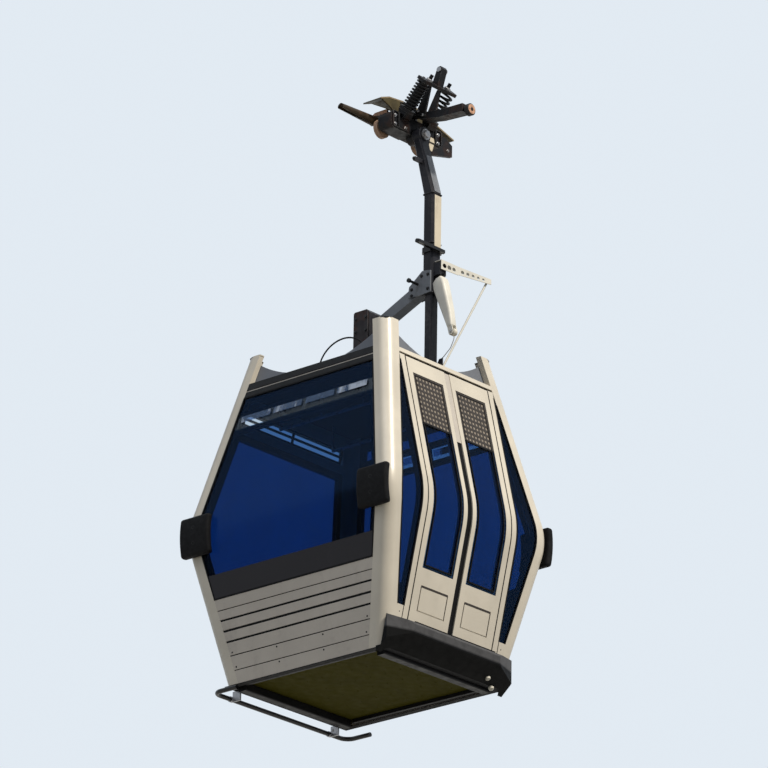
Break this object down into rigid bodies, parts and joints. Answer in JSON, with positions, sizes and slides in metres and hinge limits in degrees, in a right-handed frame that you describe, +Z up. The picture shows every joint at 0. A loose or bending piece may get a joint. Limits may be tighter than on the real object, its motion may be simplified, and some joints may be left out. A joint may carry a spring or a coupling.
{
  "type": "aerial ropeway cabin with hanger and detachable grip",
  "caption": "Bent-sided, glazed cable car cabin with sliding doors, benches, corner bumpers, a box-section hanger and a spring-loaded detachable rope grip.",
  "frame": {"origin": "on the rope's axis, at the middle of the grip's jaws", "axes": "+X along the rope, +Y from the door side to the closed side, +Z up"},
  "size_m": [1.8378, 1.952, 4.705],
  "materials": {
    "silver_extrusion": "satin anodised, fine drawing lines",
    "silver_panel": "satin anodised, grooved",
    "bright_header": "bright satin",
    "black_frame": "black powder coat",
    "tinted_glass": "blue grey tint",
    "vent_grille": "grey, perforated",
    "black_rubber": "matt",
    "step_plastic": "scuffed",
    "floor_paint": "dark olive underseal",
    "roof_paint": "light grey",
    "seat_vinyl": "dark vinyl",
    "seat_panel": "dark moulded panel",
    "dark_tube": "black, worn",
    "zinc_steel": "zinc plated",
    "hanger_paint": "dark grey, weathered",
    "white_paint": "off white, worn",
    "white_roller": "white polyamide",
    "dark_roller": "dark polyamide with a pale worn face",
    "grip_casting": "dark greased casting",
    "spring_steel": "dark painted steel"
  },
  "bodies": {
    "grip": {"grip_body": "grip_casting", "wheel_axles": "zinc_steel", "swing_pin": "zinc_steel", "lever_pin": "zinc_steel", "friction_plate": "white_paint", "rope_guides": "grip_casting", "grip_springs": "spring_steel"},
    "cabin": {"corner_posts": "silver_extrusion", "end_skirts": "silver_panel", "end_frames": "black_frame", "end_windows": "tinted_glass", "end_headers": "black_frame", "door_header": "bright_header", "door_pillars": "silver_extrusion", "side_windows": "tinted_glass", "side_window_frames": "black_frame", "side_corner_panels": "silver_extrusion", "door_leaf_a": "silver_extrusion", "door_leaf_b": "silver_extrusion", "door_glass": "tinted_glass", "door_grilles": "vent_grille", "door_seal": "black_rubber", "door_sill": "black_frame", "door_step": "step_plastic", "rear_skirt": "silver_panel", "rear_frame": "black_frame", "rear_window": "tinted_glass", "rear_rail": "bright_header", "rear_vent": "black_frame", "rear_header": "bright_header", "floor": "floor_paint", "sill_beams": "black_frame", "roof_panel": "roof_paint", "seat_cushion_a": "seat_vinyl", "seat_cushion_b": "seat_vinyl", "seat_bases": "seat_panel", "seat_backs": "seat_panel", "bumper_pads": "black_rubber", "guide_rail": "dark_tube", "guide_rail_brackets": "zinc_steel", "hanger_tube": "hanger_paint", "hanger_diagonal": "hanger_paint", "hanger_leg": "hanger_paint", "suspension_head": "hanger_paint", "hanger_collars": "zinc_steel", "control_bracket": "hanger_paint", "door_lever": "white_paint", "door_rod": "zinc_steel", "roller_arm": "white_paint", "arm_roller": "white_roller"},
    "clamp_lever": {"clamp_lever": "grip_casting", "spring_yoke": "grip_casting"},
    "lever_roller": {"lever_roller": "dark_roller"},
    "wheel_front": {"running_wheel_front": "white_roller"},
    "wheel_rear": {"running_wheel_rear": "white_roller"}
  },
  "joints": [
    {"name": "cabin_swing", "type": "hinge", "parent": "grip", "child": "cabin", "pos_m": [0, -0.282, -0.12], "axis": [0, 1, 0], "range_deg": [-30, 30]},
    {"name": "clamp_open", "type": "hinge", "parent": "grip", "child": "clamp_lever", "pos_m": [0, -0.15, 0.085], "axis": [1, 0, 0], "range_deg": [0, 10], "stiffness_Nm_per_rad": 2000, "springref_deg": -8.59, "deforming": ["grip_springs"]},
    {"name": "lever_roller_spin", "type": "hinge", "parent": "clamp_lever", "child": "lever_roller", "pos_m": [0, -0.747, -0.042], "axis": [0, 1, 0], "continuous": true},
    {"name": "wheel_front_spin", "type": "hinge", "parent": "grip", "child": "wheel_front", "pos_m": [0.205, -0.076, -0.077], "axis": [0, 1, 0], "continuous": true},
    {"name": "wheel_rear_spin", "type": "hinge", "parent": "grip", "child": "wheel_rear", "pos_m": [-0.205, -0.076, -0.077], "axis": [0, 1, 0], "continuous": true}
  ]
}
